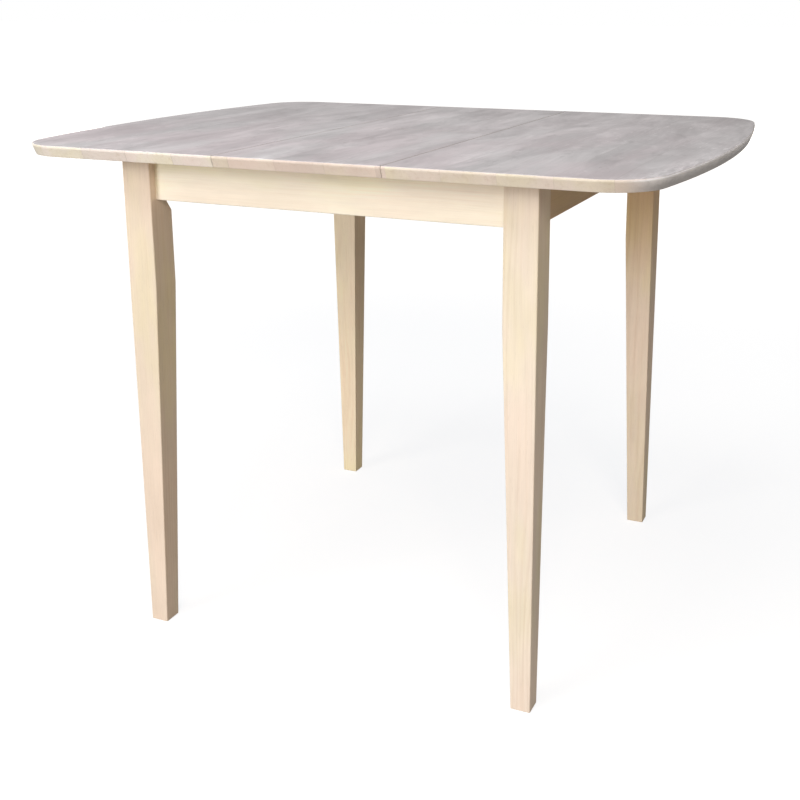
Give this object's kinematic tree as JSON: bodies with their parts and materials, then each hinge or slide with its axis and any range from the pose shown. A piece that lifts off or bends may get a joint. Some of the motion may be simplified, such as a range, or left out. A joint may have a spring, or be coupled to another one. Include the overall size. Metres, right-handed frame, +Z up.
{
  "type": "extending dining table",
  "caption": "Wooden dining table on tapered legs. Its bowed-end top slides open in two halves for a folding leaf that is kept inside the frame.",
  "frame": {"origin": "on the floor under the middle of the extended top", "axes": "+X along the extension, towards the right half; +Y to the back; +Z up"},
  "size_m": [1.016, 0.7874, 0.762],
  "materials": {
    "top_wood": "sanded bare hardwood, edge-glued staves",
    "leg_wood": "sanded bare hardwood",
    "apron_wood": "sanded bare hardwood",
    "inner_wood": "planed bare hardwood",
    "hinge_brass": "plain turned",
    "zinc_steel": "zinc plated"
  },
  "bodies": {
    "frame": {"apron_back": "apron_wood", "apron_front": "apron_wood", "apron_left": "apron_wood", "apron_right": "apron_wood", "corner_block_back_left": "inner_wood", "corner_block_back_right": "inner_wood", "corner_block_front_left": "inner_wood", "corner_block_front_right": "inner_wood", "hanger_bolts": "zinc_steel", "leaf_bearer_back": "inner_wood", "leaf_bearer_front": "inner_wood", "leg_back_left": "leg_wood", "leg_back_right": "leg_wood", "leg_front_left": "leg_wood", "leg_front_right": "leg_wood", "nuts": "zinc_steel", "slide_rail_back": "inner_wood", "slide_rail_front": "inner_wood", "washers": "zinc_steel"},
    "half_right": {"top_right": "top_wood", "runner_front_right": "inner_wood", "runner_back_right": "inner_wood"},
    "half_left": {"top_left": "top_wood", "runner_front_left": "inner_wood", "runner_back_left": "inner_wood"},
    "leaf_front_wing": {"leaf_front": "top_wood", "hinge_barrels_front": "hinge_brass", "hinge_pins_front": "zinc_steel"},
    "leaf_back_wing": {"leaf_back": "top_wood", "hinge_barrels_back": "hinge_brass", "hinge_pins_back": "zinc_steel"},
    "front_link_set": {"hinge_links_front": "zinc_steel"},
    "back_link_set": {"hinge_links_back": "zinc_steel"}
  },
  "joints": [
    {"name": "right_half_slide", "type": "slide", "parent": "frame", "child": "half_right", "axis": [1, 0, 0], "range_m": [0, 0.02]},
    {"name": "left_half_slide", "type": "slide", "parent": "frame", "child": "half_left", "axis": [-1, 0, 0], "range_m": [0, 0.02]},
    {"name": "leaf_lift", "type": "slide", "parent": "frame", "child": "leaf_front_wing", "axis": [0, 0, 1], "range_m": [0, 0.15]},
    {"name": "leaf_fold", "type": "hinge", "parent": "leaf_front_wing", "child": "leaf_back_wing", "pos_m": [0, 0, 0.76215], "axis": [1, 0, 0], "range_deg": [0, 180]},
    {"name": "front_link_turn", "type": "hinge", "parent": "leaf_front_wing", "child": "front_link_set", "pos_m": [0, -0.00215, 0.7545], "axis": [1, 0, 0], "range_deg": [0, 45]},
    {"name": "back_link_turn", "type": "hinge", "parent": "leaf_back_wing", "child": "back_link_set", "pos_m": [0, 0.00215, 0.7545], "axis": [-1, 0, 0], "range_deg": [0, 45]}
  ],
  "couplings": [
    {"joint": "front_link_turn", "follows": "leaf_fold", "ratio": 0.25},
    {"joint": "back_link_turn", "follows": "leaf_fold", "ratio": 0.25}
  ]
}
